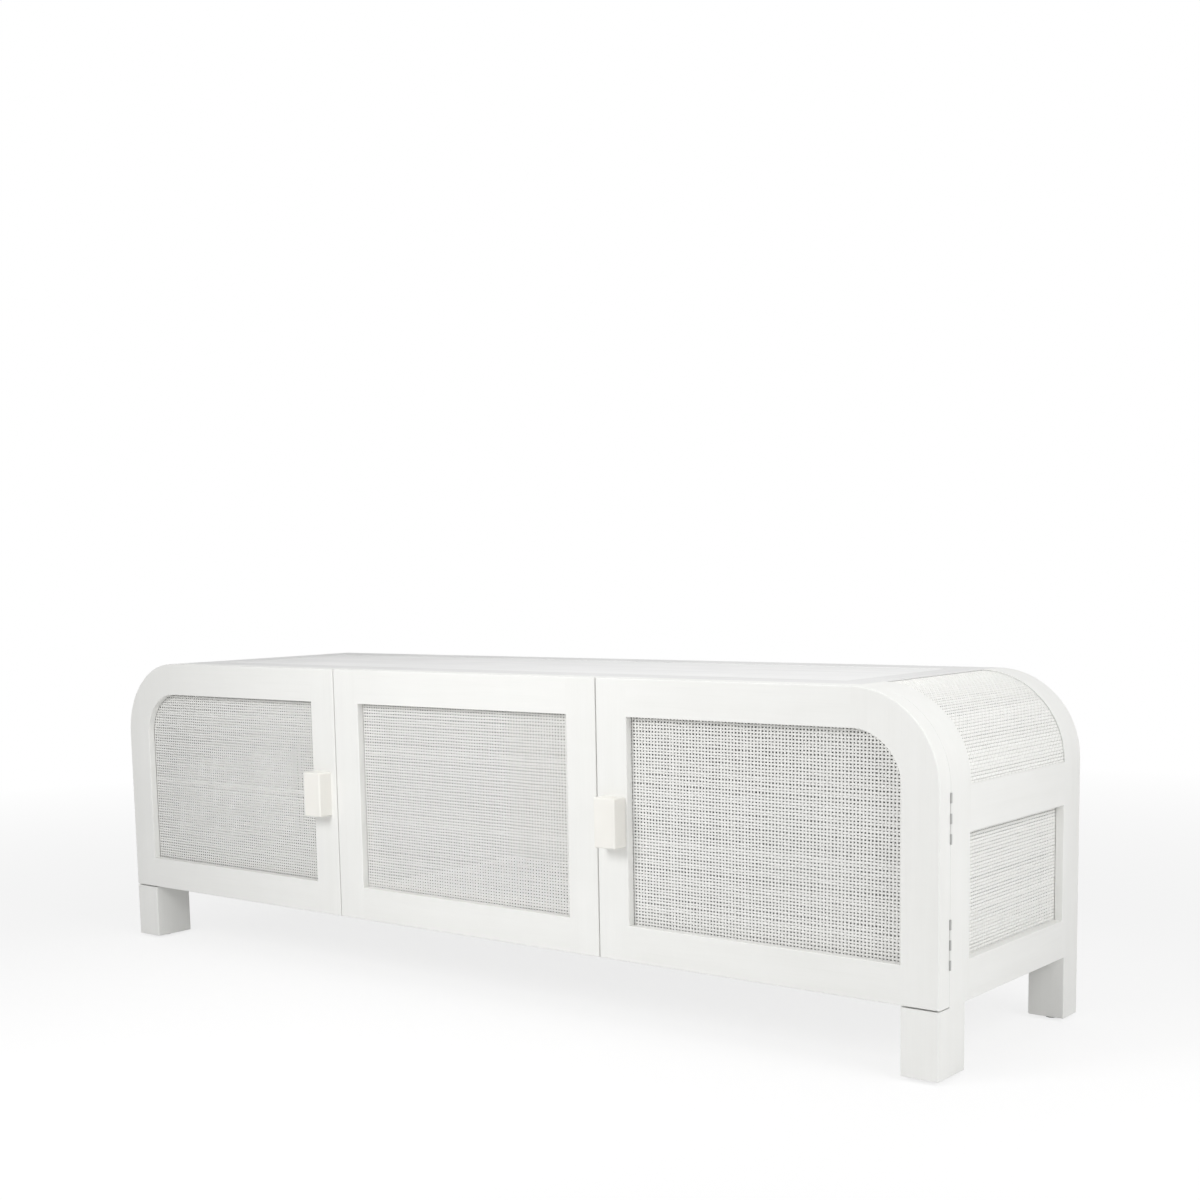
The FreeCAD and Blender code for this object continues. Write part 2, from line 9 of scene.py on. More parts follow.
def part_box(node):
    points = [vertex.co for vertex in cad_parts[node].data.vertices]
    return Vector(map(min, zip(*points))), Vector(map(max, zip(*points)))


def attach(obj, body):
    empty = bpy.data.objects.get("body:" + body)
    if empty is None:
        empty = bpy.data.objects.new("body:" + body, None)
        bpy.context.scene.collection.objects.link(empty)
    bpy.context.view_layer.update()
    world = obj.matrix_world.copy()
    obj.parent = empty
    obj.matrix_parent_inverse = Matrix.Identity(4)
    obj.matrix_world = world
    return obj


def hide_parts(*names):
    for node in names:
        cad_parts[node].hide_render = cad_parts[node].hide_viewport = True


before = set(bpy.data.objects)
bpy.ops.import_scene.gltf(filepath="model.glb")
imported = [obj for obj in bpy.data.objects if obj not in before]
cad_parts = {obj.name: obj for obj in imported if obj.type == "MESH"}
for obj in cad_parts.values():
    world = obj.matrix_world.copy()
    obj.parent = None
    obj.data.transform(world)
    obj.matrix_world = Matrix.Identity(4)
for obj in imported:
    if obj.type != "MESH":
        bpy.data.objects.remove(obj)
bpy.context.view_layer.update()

bl_info = {
    "name": "Cane TV unit",
    "version": (1, 0, 0),
    "blender": (4, 5, 0),
    "location": "View3D > Sidebar > TV unit",
    "description": "Weaves the cane and finishes the painted timber of a long low TV unit",
    "category": "Object",
}

# The woven panels: the body each door panel rides on, its rounded side, and the two ends
DOORS = {"right_door_cane": "right_door", "left_door_cane": "left_door", "flap_cane": "flap"}
ROUNDED_SIDE = {"right_door": 1, "left_door": -1, "flap": 0}
ENDS = {"right": 1, "left": -1}
END_SEED = 10
BEND_SEED = 20
BAKE_MAP = "OFBake"
TONE = "strand_tone"

# A strand's section in shares of half its width and half its depth, and the two faces that close it
STRAND = np.array([(-0.6, 1), (0.6, 1), (1, 0), (0.6, -1), (-0.6, -1), (-1, 0)], dtype=float)
CAP = np.array([(0, 1, 2, 5), (5, 2, 3, 4)])

# How strands wander: the waves' lengths and number, a column's shares, and how fast room is lost
WAVE_LENGTHS = (0.04, 0.14)
WAVES = 3
COLUMN_DRIFT = 0.6
COLUMN_SLIP = 0.5
ROOM_POWER = 4

# How widths and tones differ from strand to strand, and widths along a strand
WIDTH_BETWEEN = 0.6
WIDTH_ALONG = 0.35
WIDTH_LIMITS = (0.75, 1.2)
TONE_MEAN = 0.28
TONE_SPREAD = 0.2

# Where a strand lies on the map: in a band of its own, with its two end faces beside its length
BAND_START = 0.1
BAND_SHARE = 0.8
RUN_START = 0.01
RUN_SHARE = 0.98
FIRST_END = 0.002
LAST_END = 0.992
END_SHARE = 0.006

# Repeats of a noise along each axis, for a metre of timber or paint and for the whole map of a cane
STREAK = (2.2, 46.0, 46.0)
PORE = (9.0, 330.0, 330.0)
CLOUD = (7.0, 7.0, 7.0)
PEEL = (380.0, 380.0, 380.0)
FIBRE = (45.0, 620.0, 1.0)
NOISE_ROUGHNESS = 0.6

# Shares of the patterns in a timber's tint and relief, and in a strand's tint
CLOUD_TINT = 0.35
PORE_TINT = 0.6
STREAK_LIFT = 0.6
PEEL_LIFT = 0.4
STRAND_TINT = 0.7
FIBRE_TINT = 0.35

# Turns that bring a grain along X into a member's own direction
GRAIN_TURNS = {
    "along": (0.0, 0.0, 0.0),
    "across": (0.0, 0.0, -math.pi / 2),
    "upright": (0.0, math.pi / 2, 0.0),
}

# Width of the line where the paint on a board's two faces meets
PAINT_SEAM = 0.001

# Sockets of a node that mixes two colours
MIX_SHARE = 0
MIX_FIRST = 6
MIX_SECOND = 7
MIX_RESULT = 2

# Soft boxes: the setting with the power, the side, the place and the point it faces
SOFT_BOXES = {
    "Front soft box": ("key", 0.75, (-0.03, -1.55, 1.22), (0.08, -0.22, 0.35)),
    "Right soft box": ("fill", 0.9, (2.0, -0.35, 1.1), (0.9, -0.1, 0.35)),
    "Overhead soft box": ("crown", 1.5, (0.45, -0.1, 2.05), (0.35, 0.0, 0.55)),
}
SENSOR = 36
WHITE = (1.0, 1.0, 1.0, 1.0)

# The floor turns white between these distances from the unit's middle, from this share on
FADE_START = 1.2
FADE_END = 3.5
FADE_SHARE = 0.78


# Settings
class CaneSettings(bpy.types.PropertyGroup):
    """The open square weave of every cane panel."""

    column_pitch: FloatProperty(
        name="Column pitch", description="Distance between upright strands", default=0.00595, unit="LENGTH"
    )
    row_pitch: FloatProperty(
        name="Row pitch", description="Distance between level strands", default=0.0051, unit="LENGTH"
    )
    column_width: FloatProperty(
        name="Column width", description="Width of an upright strand", default=0.00355, unit="LENGTH"
    )
    row_width: FloatProperty(
        name="Row width", description="Width of a level strand", default=0.0035, unit="LENGTH"
    )
    strand_depth: FloatProperty(
        name="Strand depth", description="Thickness of a strand", default=0.0007, unit="LENGTH"
    )
    swing: FloatProperty(
        name="Swing", description="How far a strand goes over and under", default=0.00036, unit="LENGTH"
    )
    drift: FloatProperty(
        name="Drift", description="How far a strand wanders from its line", default=0.00042, unit="LENGTH"
    )
    slip: FloatProperty(
        name="Slip", description="How far a whole strand lies from its place", default=0.00036, unit="LENGTH"
    )
    closer_end: FloatVectorProperty(
        name="End widths", description="Column and row widths at the ends, as shares of the doors'",
        default=(0.96, 1.17), size=2,
    )
    closer_bend: FloatVectorProperty(
        name="Shoulder widths", description="Column and row widths at the shoulders, as shares of the doors'",
        default=(1.03, 1.27), size=2,
    )
    # The doors' cane is the same cane as the ends', darkened by this share as painted shade of its deep
    # recess in the door frames
    door_shade_share: FloatProperty(
        name="Door cane", description="Share of the colour that the shade-painted cane of the doors has",
        default=0.91, subtype="FACTOR",
    )
    uneven: FloatProperty(
        name="Uneven width", description="Share by which widths differ", default=0.09, subtype="FACTOR"
    )
    door_round: FloatProperty(
        name="Door corner", description="Radius of a door cane's outer corner", default=0.0897, unit="LENGTH"
    )
    shoulder_round: FloatProperty(
        name="Shoulder", description="Outer radius of the bent cane", default=0.1385, unit="LENGTH"
    )
    groove: FloatProperty(
        name="Groove", description="How deep the bent cane goes into its grooves",
        default=0.0077, unit="LENGTH",
    )
    seed: IntProperty(name="Seed", description="Start of the random draws", default=7)
    light: FloatVectorProperty(
        name="Cane", description="Colour of a clean strand",
        default=(0.915, 0.913, 0.89), size=3, subtype="COLOR",
    )
    shade: FloatVectorProperty(
        name="Cane shade", description="Colour of a dull strand",
        default=(0.838, 0.833, 0.805), size=3, subtype="COLOR",
    )


class PaintSettings(bpy.types.PropertyGroup):
    """Colours of the painted timber and of the fittings."""

    paint: FloatVectorProperty(
        name="Paint", description="White paint", default=(0.855, 0.855, 0.835), size=3, subtype="COLOR"
    )
    paint_shade: FloatVectorProperty(
        name="Paint shade", description="Paint where the grain shows",
        default=(0.8, 0.8, 0.775), size=3, subtype="COLOR",
    )
    top: FloatVectorProperty(
        name="Top", description="Thin paint on the top panel",
        default=(0.91, 0.91, 0.905), size=3, subtype="COLOR",
    )
    top_shade: FloatVectorProperty(
        name="Top grain", description="Grain lines of the top panel",
        default=(0.82, 0.82, 0.815), size=3, subtype="COLOR",
    )
    # The top's frame: a paint darker than the top panel
    top_rail: FloatVectorProperty(
        name="Top rails", description="Thin paint on the top's frame",
        default=(0.77, 0.77, 0.765), size=3, subtype="COLOR",
    )
    top_rail_shade: FloatVectorProperty(
        name="Top rail grain", description="Grain of the top's frame",
        default=(0.7, 0.7, 0.695), size=3, subtype="COLOR",
    )
    # Inside: a grey that stands in as painted shade for the closed cabinet's inside, seen through the cane
    inner: FloatVectorProperty(
        name="Inside", description="Matt grey stain inside",
        default=(0.36, 0.356, 0.345), size=3, subtype="COLOR",
    )
    handle: FloatVectorProperty(
        name="Handle", description="Ivory lacquer", default=(0.86, 0.845, 0.8), size=3, subtype="COLOR"
    )
    hinge: FloatVectorProperty(
        name="Hinge", description="White painted steel", default=(0.8, 0.8, 0.78), size=3, subtype="COLOR"
    )
    steel: FloatVectorProperty(
        name="Steel", description="Dull grey steel", default=(0.52, 0.52, 0.51), size=3, subtype="COLOR"
    )
    plastic: FloatVectorProperty(
        name="Catch", description="White moulded plastic", default=(0.78, 0.78, 0.76), size=3, subtype="COLOR"
    )
    glide: FloatVectorProperty(
        name="Glide", description="Black moulded plastic",
        default=(0.02, 0.02, 0.021), size=3, subtype="COLOR",
    )


class StageSettings(bpy.types.PropertyGroup):
    """Camera, light and floor."""

    yaw: FloatProperty(
        name="Yaw", description="Turn of the camera to the left", default=math.radians(38.69), subtype="ANGLE"
    )
    pitch: FloatProperty(
        name="Pitch", description="Tilt of the camera down", default=math.radians(7.09), subtype="ANGLE"
    )
    roll: FloatProperty(
        name="Roll", description="Roll of the camera", default=math.radians(1.02), subtype="ANGLE"
    )
    eye: FloatVectorProperty(
        name="Eye", description="Place of the camera",
        default=(1.9901, -2.3225, 0.7205), size=3, subtype="XYZ", unit="LENGTH",
    )
    lens: FloatProperty(name="Lens", description="Focal length in millimetres", default=51.6)
    rise: FloatProperty(name="Rise", description="Upward shift of the frame", default=185 / 1200)
    sky: FloatProperty(name="Sky", description="Strength of the light from all round", default=0.4)
    key: FloatProperty(
        name="Key", description="Power of the soft box in front", default=14.1, unit="POWER"
    )
    fill: FloatProperty(
        name="Fill", description="Power of the soft box on the right", default=11.0, unit="POWER"
    )
    crown: FloatProperty(
        name="Crown", description="Power of the soft box overhead", default=7.2, unit="POWER"
    )
    floor: FloatVectorProperty(
        name="Floor", description="Pale floor", default=(0.94, 0.94, 0.94), size=3, subtype="COLOR"
    )
    floor_half: FloatProperty(
        name="Floor reach", description="Half the side of the floor", default=60.0, unit="LENGTH"
    )


# Shader helpers
def opaque(colour):
    """A colour with full alpha."""
    return (*colour, 1.0)


def shaded(colour, share):
    """A colour with each of its parts multiplied by a share."""
    return [share * value for value in colour]


def put(tree, kind, values=None, **options):
    """Add a node, with its options and the values on its sockets."""
    made = tree.nodes.new(kind)
    for name, value in options.items():
        setattr(made, name, value)
    for name, value in (values or {}).items():
        made.inputs[name].default_value = value
    return made


def spread(tree, source, low=0.0, high=1.0, least=0.0, most=1.0):
    """Stretch the values between low and high to the range from least to most, and clip the rest."""
    made = put(
        tree, "ShaderNodeMapRange",
        {"From Min": low, "From Max": high, "To Min": least, "To Max": most},
    )
    tree.links.new(source, made.inputs["Value"])
    return made.outputs["Result"]


def weigh(tree, first, first_share, second, second_share):
    """first times its share plus second times its share."""
    left = put(tree, "ShaderNodeMath", operation="MULTIPLY")
    left.inputs[1].default_value = first_share
    tree.links.new(first, left.inputs[0])
    total = put(tree, "ShaderNodeMath", operation="MULTIPLY_ADD", use_clamp=True)
    total.inputs[1].default_value = second_share
    tree.links.new(second, total.inputs[0])
    tree.links.new(left.outputs[0], total.inputs[2])
    return total.outputs[0]


def tint(tree, share, clean, dull):
    """The colour that lies share of the way from clean to dull."""
    mix = put(tree, "ShaderNodeMix", data_type="RGBA")
    mix.inputs[MIX_FIRST].default_value = opaque(clean)
    mix.inputs[MIX_SECOND].default_value = opaque(dull)
    tree.links.new(share, mix.inputs[MIX_SHARE])
    return mix.outputs[MIX_RESULT]


def stretched_noise(tree, vector, stretch, detail):
    """Noise on coordinates multiplied axis by axis, so that it runs long where the factor is small."""
    scaled = put(tree, "ShaderNodeVectorMath", operation="MULTIPLY")
    scaled.inputs[1].default_value = stretch
    tree.links.new(vector, scaled.inputs[0])
    noise = put(tree, "ShaderNodeTexNoise", {"Scale": 1.0, "Detail": detail, "Roughness": NOISE_ROUGHNESS})
    tree.links.new(scaled.outputs[0], noise.inputs["Vector"])
    return noise.outputs["Fac"]


def new_group(name, outputs):
    """A node group with one vector input and these value outputs."""
    tree = bpy.data.node_groups.new(name, "ShaderNodeTree")
    tree.interface.new_socket("Vector", in_out="INPUT", socket_type="NodeSocketVector")
    for label in outputs:
        tree.interface.new_socket(label, in_out="OUTPUT", socket_type="NodeSocketFloat")
    vector = tree.nodes.new("NodeGroupInput").outputs["Vector"]
    return tree, vector, tree.nodes.new("NodeGroupOutput").inputs


def long_grain():
    """The group for timber grain that runs along X: broad streaks, and fine open pores."""
    name = "Long grain"
    if name in bpy.data.node_groups:
        return bpy.data.node_groups[name]
    tree, vector, out = new_group(name, ("Streak", "Pore"))
    streak = stretched_noise(tree, vector, STREAK, detail=5.0)
    tree.links.new(spread(tree, streak, low=0.3, high=0.7), out["Streak"])
    pore = stretched_noise(tree, vector, PORE, detail=2.0)
    tree.links.new(spread(tree, pore, low=0.52, high=0.74), out["Pore"])
    return tree


def paint_film():
    """The group for sprayed paint: slow clouds of tone, and a fine peel for the bump."""
    name = "Paint film"
    if name in bpy.data.node_groups:
        return bpy.data.node_groups[name]
    tree, vector, out = new_group(name, ("Cloud", "Peel"))
    cloud = stretched_noise(tree, vector, CLOUD, detail=3.0)
    tree.links.new(spread(tree, cloud, low=0.32, high=0.68), out["Cloud"])
    tree.links.new(stretched_noise(tree, vector, PEEL, detail=2.0), out["Peel"])
    return tree


def new_material(name):
    """An empty material, its node tree and its shader."""
    material = bpy.data.materials.new(name)
    material.use_nodes = True
    return material, material.node_tree, material.node_tree.nodes["Principled BSDF"]


def object_vector(tree, turn=(0.0, 0.0, 0.0)):
    """Object coordinates in metres, turned so that a pattern along X runs the way it should."""
    coordinates = put(tree, "ShaderNodeTexCoord")
    mapping = put(tree, "ShaderNodeMapping", {"Rotation": turn})
    tree.links.new(coordinates.outputs["Object"], mapping.inputs["Vector"])
    return mapping.outputs["Vector"]


def use_group(tree, group, vector):
    """Place a group and feed it its vector."""
    made = put(tree, "ShaderNodeGroup", node_tree=group)
    tree.links.new(vector, made.inputs["Vector"])
    return made.outputs


def add_bump(tree, shader, height, strength, distance):
    """Bump from a height."""
    bump = put(tree, "ShaderNodeBump", {"Strength": strength, "Distance": distance})
    tree.links.new(height, bump.inputs["Height"])
    tree.links.new(bump.outputs["Normal"], shader.inputs["Normal"])


# Finishes
def two_tone(tree, depth, front, rear):
    """One colour in front of a depth, and another one behind it."""
    axes = put(tree, "ShaderNodeSeparateXYZ")
    tree.links.new(object_vector(tree), axes.inputs["Vector"])
    share = spread(tree, axes.outputs["Y"], depth - PAINT_SEAM / 2, depth + PAINT_SEAM / 2)
    mix = put(tree, "ShaderNodeMix", data_type="RGBA")
    tree.links.new(share, mix.inputs[MIX_SHARE])
    tree.links.new(front, mix.inputs[MIX_FIRST])
    tree.links.new(rear, mix.inputs[MIX_SECOND])
    return mix.outputs[MIX_RESULT]


def timber_paint(name, clean, dull, direction, grain, gloss, behind=None):
    """Paint over timber: grain streaks and paint clouds tint it, the grain and the peel lift it.

    behind is the depth past which a board has another paint, and the two colours of that paint.
    """
    material, tree, shader = new_material(name)
    vector = object_vector(tree, GRAIN_TURNS[direction])
    timber = use_group(tree, long_grain(), vector)
    film = use_group(tree, paint_film(), vector)
    share = weigh(tree, timber["Streak"], grain, film["Cloud"], CLOUD_TINT)
    lines = weigh(tree, timber["Pore"], grain * PORE_TINT, share, 1.0)
    colour = tint(tree, lines, clean, dull)
    if behind:
        depth, rear_clean, rear_dull = behind
        colour = two_tone(tree, depth, colour, tint(tree, lines, rear_clean, rear_dull))
    tree.links.new(colour, shader.inputs["Base Color"])
    matt = spread(tree, film["Cloud"], least=gloss - 0.04, most=gloss + 0.06)
    tree.links.new(matt, shader.inputs["Roughness"])
    relief = weigh(tree, timber["Streak"], STREAK_LIFT, film["Peel"], PEEL_LIFT)
    add_bump(tree, shader, relief, strength=0.15 + 0.2 * grain, distance=0.0003)
    return material


def lacquer(name, clean, dull, gloss, peel):
    """A smooth lacquer or moulding: clouds tint it and change its gloss, and a fine peel lifts it."""
    material, tree, shader = new_material(name)
    film = use_group(tree, paint_film(), object_vector(tree))
    tree.links.new(tint(tree, film["Cloud"], clean, dull), shader.inputs["Base Color"])
    matt = spread(tree, film["Cloud"], least=gloss - 0.05, most=gloss + 0.07)
    tree.links.new(matt, shader.inputs["Roughness"])
    add_bump(tree, shader, film["Peel"], strength=peel, distance=0.0002)
    return material


def rolled_steel(name, colour):
    """Dull steel: fine rolling lines change its tone and gloss."""
    material, tree, shader = new_material(name)
    shader.inputs["Metallic"].default_value = 0.6
    lines = use_group(tree, long_grain(), object_vector(tree, GRAIN_TURNS["upright"]))
    tree.links.new(tint(tree, lines["Streak"], colour, shaded(colour, 0.7)), shader.inputs["Base Color"])
    tree.links.new(spread(tree, lines["Pore"], least=0.42, most=0.58), shader.inputs["Roughness"])
    add_bump(tree, shader, lines["Pore"], strength=0.1, distance=0.0001)
    return material


def cane_finish(name, cane, colour_share):
    """Painted cane: each strand has its own tone, and fibres run along it on the strand's own map."""
    if name in bpy.data.materials:
        return bpy.data.materials[name]
    material, tree, shader = new_material(name)
    own = put(tree, "ShaderNodeAttribute", attribute_name=TONE)
    along = put(tree, "ShaderNodeUVMap", uv_map=BAKE_MAP)
    fibre = stretched_noise(tree, along.outputs["UV"], FIBRE, detail=3.0)
    fibres = spread(tree, fibre, low=0.35, high=0.7)
    share = weigh(tree, own.outputs["Fac"], STRAND_TINT, fibres, FIBRE_TINT)
    # A colour_share below 1 darkens the cane as painted shade; the ends' cane keeps a share of 1
    light, shade = shaded(cane.light, colour_share), shaded(cane.shade, colour_share)
    tree.links.new(tint(tree, share, light, shade), shader.inputs["Base Color"])
    matt = spread(tree, fibre, low=0.3, high=0.7, least=0.5, most=0.68)
    tree.links.new(matt, shader.inputs["Roughness"])
    add_bump(tree, shader, fibre, strength=0.3, distance=0.0002)
    return material


def dress(nodes, material):
    """Give CAD nodes a material in their own slots."""
    for name in nodes:
        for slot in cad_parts[name].material_slots:
            slot.material = material


def named(*endings):
    """The CAD nodes whose names end with one of these."""
    return [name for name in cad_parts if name.endswith(endings)]


# Weaving
def drifts(random, strands, points, reach, slip):
    """Each strand's departure from its line: its own slip, and sines of random length and phase."""
    waves = points[None, :, None] / random.uniform(*WAVE_LENGTHS, (strands, 1, WAVES))
    sines = np.sin(2 * np.pi * (waves + random.random((strands, 1, WAVES)))).mean(2)
    return reach * sines + slip * random.uniform(-1, 1, (strands, 1))


def past_ends(values):
    """Values at the crossings, with a place half a step past each end."""
    first = 1.5 * values[:, :1] - 0.5 * values[:, 1:2]
    last = 1.5 * values[:, -1:] - 0.5 * values[:, -2:-1]
    return np.concatenate([first, values, last], axis=1)


def on_panel(size, a, b):
    """Which points lie on a panel of this size."""
    return (a >= 0) & (a <= size[0]) & (b >= 0) & (b <= size[1])


def tubes(paths, kept, widths, depth, first, total):
    """Strands as flat tubes: a six-cornered section carried along each path.

    A corner is the path's point plus a share of half the width across the path and a share of half
    the depth out of the panel. Points that aren't kept are left out, and each run is closed at both
    ends. Returns the points in panel coordinates, the faces, their map and each point's strand.
    """
    strands, steps = kept.shape
    beside = np.zeros_like(kept)
    beside[:, 1:] |= kept[:, :-1]
    beside[:, :-1] |= kept[:, 1:]
    kept = kept & beside
    run = np.gradient(paths[:, :, :2], axis=1)
    run /= np.linalg.norm(run, axis=2, keepdims=True)
    across = np.stack([run[..., 1], -run[..., 0], np.zeros((strands, steps))], axis=2) * widths[..., None] / 2
    out = np.array((0, 0, depth / 2))
    rings = paths[:, :, None] + across[:, :, None] * STRAND[:, :1] + out * STRAND[:, 1:]
    count = len(STRAND)
    index = count * (np.cumsum(kept.ravel()).reshape(kept.shape) - 1)
    corner = np.arange(count)
    after = (corner + 1) % count
    round_share = BAND_START + BAND_SHARE * np.arange(count + 1) / count
    band = (first + np.arange(strands)[:, None] + round_share) / total
    far = RUN_START + RUN_SHARE * np.arange(steps) / (steps - 1)

    strand, step = np.nonzero(kept[:, :-1] & kept[:, 1:])
    here, there = index[strand, step][:, None], index[strand, step + 1][:, None]
    sides = np.stack([here + corner, here + after, there + after, there + corner], axis=2).reshape(-1, 4)
    low, high = band[strand][:, :-1], band[strand][:, 1:]
    near_u, far_u = (np.broadcast_to(far[at][:, None], low.shape) for at in (step, step + 1))
    side_map = np.stack([near_u, low, near_u, high, far_u, high, far_u, low], axis=2).reshape(-1, 4, 2)

    faces, maps = [sides], [side_map]
    padded = np.pad(kept, ((0, 0), (1, 1)))
    starts, stops = kept & ~padded[:, :-2], kept & ~padded[:, 2:]
    for closed, turn, u in ((starts, -1, FIRST_END), (stops, 1, LAST_END)):
        strand, step = np.nonzero(closed)
        for half, quad in enumerate(CAP):
            faces.append(index[strand, step][:, None] + quad[::turn])
            low, high = band[strand, 3 * half], band[strand, 3 * half + 3]
            left, right = np.full(low.shape, u), np.full(low.shape, u + END_SHARE)
            corners = np.stack([left, low, right, low, right, high, left, high], axis=1)
            maps.append(corners.reshape(-1, 4, 2))
    owner = np.repeat(np.nonzero(kept)[0], count)
    return rings[kept].reshape(-1, 3), np.concatenate(faces), np.concatenate(maps), owner


def woven_mesh(name, size, inside, place, cane, seed, closer=(1.0, 1.0)):
    """A panel of open square weave.

    Column i and row j cross at a point of a grid that drifts a little. There the column lies out
    by the swing where i + j is even and in by it where odd, and the row lies the other way. inside
    says which points are kept, and place turns panel coordinates (along, up, out) into the row frame.
    closer multiplies the widths of the columns and rows, and a closer weave has less room to drift.
    """
    random = np.random.default_rng(seed)
    columns, rows = int(size[0] // cane.column_pitch), int(size[1] // cane.row_pitch)
    a = (np.arange(columns) - (columns - 1) / 2) * cane.column_pitch + size[0] / 2
    b = (np.arange(rows) - (rows - 1) / 2) * cane.row_pitch + size[1] / 2
    drift, slip = cane.drift / closer[1]**ROOM_POWER, cane.slip / closer[1]**ROOM_POWER
    cross_a = a[:, None] + drifts(random, columns, b, COLUMN_DRIFT * drift, COLUMN_SLIP * slip)
    cross_b = b[:, None] + drifts(random, rows, a, drift, slip)
    over = cane.swing * (1 - 2 * (np.add.outer(np.arange(columns), np.arange(rows)) % 2))
    families = (
        (cross_a, cross_b.T, over, closer[0] * cane.column_width, False),
        (cross_b, cross_a.T, -over.T, closer[1] * cane.row_width, True),
    )
    pieces, tones, first = [], [], 0
    for aside, forward, out, width, level in families:
        aside, forward = past_ends(aside), past_ends(forward)
        lift = np.pad(out, ((0, 0), (1, 1)))
        paths = np.stack([forward, aside, lift] if level else [aside, forward, lift], axis=2)
        share = 1 + cane.uneven * random.normal(0, WIDTH_BETWEEN, (aside.shape[0], 1))
        share = share + cane.uneven * random.normal(0, WIDTH_ALONG, aside.shape)
        widths = np.clip(share, *WIDTH_LIMITS) * width
        kept = inside(paths[..., 0], paths[..., 1])
        pieces.append(tubes(paths, kept, widths, cane.strand_depth, first, columns + rows))
        tones.append(np.clip(random.normal(TONE_MEAN, TONE_SPREAD, aside.shape[0]), 0, 1))
        first += aside.shape[0]
    points = np.concatenate([piece[0] for piece in pieces])
    shift = len(pieces[0][0])
    faces = np.concatenate([pieces[0][1], pieces[1][1] + shift])
    maps = np.concatenate([pieces[0][2], pieces[1][2]])
    tone = np.concatenate([tones[0][pieces[0][3]], tones[1][pieces[1][3]]])
    places = np.stack(place(points[:, 0], points[:, 1], points[:, 2]), axis=1)

    mesh = bpy.data.meshes.new(name)
    mesh.vertices.add(len(places))
    mesh.vertices.foreach_set("co", places.astype(np.float32).ravel())
    mesh.loops.add(faces.size)
    mesh.loops.foreach_set("vertex_index", faces.astype(np.int32).ravel())
    mesh.polygons.add(len(faces))
    mesh.polygons.foreach_set("loop_start", np.arange(0, faces.size, 4, dtype=np.int32))
    mesh.polygons.foreach_set("use_smooth", np.ones(len(faces), dtype=bool))
    mesh.uv_layers.new(name=BAKE_MAP).data.foreach_set("uv", maps.astype(np.float32).ravel())
    mesh.attributes.new(TONE, "FLOAT", "POINT").data.foreach_set("value", tone.astype(np.float32))
    mesh.update(calc_edges=True)
    if mesh.validate():
        raise RuntimeError(name + " has bad faces")
    return mesh


def add_cane(node, mesh, body, finish):
    """Put a woven panel in place of its CAD node."""
    mesh.materials.append(finish)
    panel = bpy.data.objects.new("woven_" + node, mesh)
    bpy.context.scene.collection.objects.link(panel)
    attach(panel, body)
    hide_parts(node)


class TVUNIT_OT_weave_doors(bpy.types.Operator):
    """Weave the cane of the two doors and of the flap"""

    bl_idname = "tvunit.weave_doors"
    bl_label = "Weave door cane"

    def weave(self, cane, node, body, seed):
        """A flat panel whose upper outer corner is a quarter circle, or square on the flap."""
        low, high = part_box(node)
        size = (high.x - low.x, high.z - low.z)
        middle = (low.y + high.y) / 2
        rounded_side = ROUNDED_SIDE[body]

        def inside(a, b):
            from_side = size[0] - a if rounded_side > 0 else a
            over_a = np.clip(cane.door_round - from_side, 0, None)
            over_b = np.clip(cane.door_round - (size[1] - b), 0, None)
            corner = (rounded_side == 0) | (np.hypot(over_a, over_b) <= cane.door_round)
            return on_panel(size, a, b) & corner

        def place(a, b, out):
            return low.x + a, middle - out, low.z + b

        mesh = woven_mesh("woven_" + node, size, inside, place, cane, seed)
        # The door cane is darkened by door_shade_share: painted shade of the recessed panels
        add_cane(node, mesh, body, cane_finish("Door cane", cane, cane.door_shade_share))

    def execute(self, context):
        cane = context.scene.tvunit_cane
        for number, (node, body) in enumerate(DOORS.items()):
            self.weave(cane, node, body, cane.seed + number)
        return {"FINISHED"}


class TVUNIT_OT_weave_ends(bpy.types.Operator):
    """Weave the flat cane of the two ends"""

    bl_idname = "tvunit.weave_ends"
    bl_label = "Weave end cane"

    def weave(self, cane, node, side, seed):
        """A flat panel across an end, with its outer face to that side."""
        low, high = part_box(node)
        size = (high.y - low.y, high.z - low.z)
        middle = (low.x + high.x) / 2
        start = low.y if side > 0 else high.y

        def inside(a, b):
            return on_panel(size, a, b)

        def place(a, b, out):
            return middle + side * out, start + side * a, low.z + b

        mesh = woven_mesh("woven_" + node, size, inside, place, cane, seed, cane.closer_end)
        add_cane(node, mesh, "carcass", cane_finish("End cane", cane, 1.0))

    def execute(self, context):
        cane = context.scene.tvunit_cane
        for number, (word, side) in enumerate(ENDS.items()):
            self.weave(cane, "end_cane_" + word, side, cane.seed + END_SEED + number)
        return {"FINISHED"}


